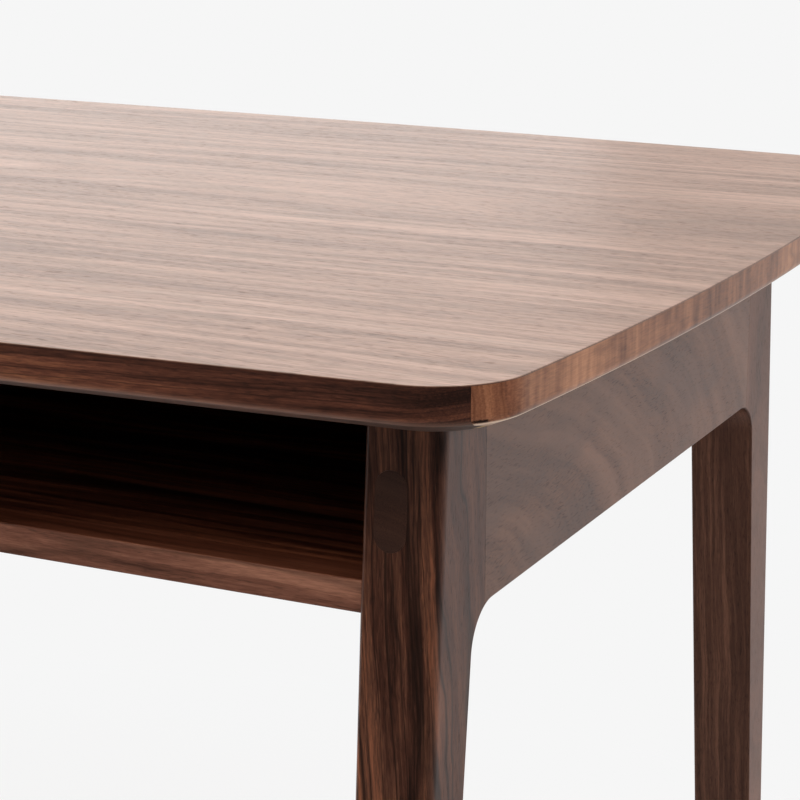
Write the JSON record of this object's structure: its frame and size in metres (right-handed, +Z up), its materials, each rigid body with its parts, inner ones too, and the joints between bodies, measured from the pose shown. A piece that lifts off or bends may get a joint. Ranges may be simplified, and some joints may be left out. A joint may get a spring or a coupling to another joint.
{
  "type": "writing desk",
  "caption": "Walnut writing desk with a thin softly curved top, splayed tapered legs and an open shelf under the top.",
  "frame": {"origin": "on the floor under the middle of the top", "axes": "+Z up, +X to the sitter's right along the top, -Y towards the sitter"},
  "size_m": [1.35, 0.65, 0.75],
  "materials": {
    "walnut_veneer": "satin lacquered walnut veneer, grain along the length",
    "core_board": "raw plywood core",
    "backing_veneer": "lacquered walnut backing veneer",
    "dark_walnut_lipping": "satin lacquered solid walnut, dark heartwood",
    "copper_walnut_lipping": "satin lacquered solid walnut, copper brown",
    "leg_walnut": "satin lacquered solid walnut",
    "side_rail_walnut": "satin lacquered solid walnut",
    "rear_rail_walnut": "satin lacquered solid walnut",
    "shelf_veneer": "lacquered walnut veneer on plywood",
    "shelf_lipping": "satin lacquered solid walnut",
    "divider_veneer": "lacquered walnut veneer on plywood",
    "beech_dowel": "raw fluted beech",
    "zinc_plated_steel": "zinc plated",
    "nylon": "moulded black nylon"
  },
  "bodies": {
    "root": {"top_veneer": "walnut_veneer", "top_core": "core_board", "top_backer_veneer": "backing_veneer", "front_lipping": "dark_walnut_lipping", "rear_lipping": "dark_walnut_lipping", "left_lipping": "copper_walnut_lipping", "right_lipping": "copper_walnut_lipping", "front_left_leg": "leg_walnut", "front_right_leg": "leg_walnut", "rear_left_leg": "leg_walnut", "rear_right_leg": "leg_walnut", "right_side_rail": "side_rail_walnut", "left_side_rail": "side_rail_walnut", "rear_rail": "rear_rail_walnut", "shelf_board": "shelf_veneer", "shelf_front_lipping": "shelf_lipping", "shelf_divider": "divider_veneer", "right_shelf_dowel_1": "beech_dowel", "left_shelf_dowel_1": "beech_dowel", "right_shelf_dowel_2": "beech_dowel", "left_shelf_dowel_2": "beech_dowel", "right_shelf_dowel_3": "beech_dowel", "left_shelf_dowel_3": "beech_dowel", "right_shelf_dowel_4": "beech_dowel", "left_shelf_dowel_4": "beech_dowel", "rear_shelf_dowel_1": "beech_dowel", "rear_shelf_dowel_2": "beech_dowel", "rear_shelf_dowel_3": "beech_dowel", "rear_shelf_dowel_4": "beech_dowel", "divider_dowel_1": "beech_dowel", "divider_dowel_2": "beech_dowel", "divider_dowel_3": "beech_dowel", "figure_eight_plate_1": "zinc_plated_steel", "rail_screw_1": "zinc_plated_steel", "top_screw_1": "zinc_plated_steel", "figure_eight_plate_2": "zinc_plated_steel", "rail_screw_2": "zinc_plated_steel", "top_screw_2": "zinc_plated_steel", "figure_eight_plate_3": "zinc_plated_steel", "rail_screw_3": "zinc_plated_steel", "top_screw_3": "zinc_plated_steel", "figure_eight_plate_4": "zinc_plated_steel", "rail_screw_4": "zinc_plated_steel", "top_screw_4": "zinc_plated_steel", "figure_eight_plate_5": "zinc_plated_steel", "rail_screw_5": "zinc_plated_steel", "top_screw_5": "zinc_plated_steel", "figure_eight_plate_6": "zinc_plated_steel", "rail_screw_6": "zinc_plated_steel", "top_screw_6": "zinc_plated_steel", "front_left_glide": "nylon", "front_right_glide": "nylon", "rear_left_glide": "nylon", "rear_right_glide": "nylon"}
  },
  "joints": []
}
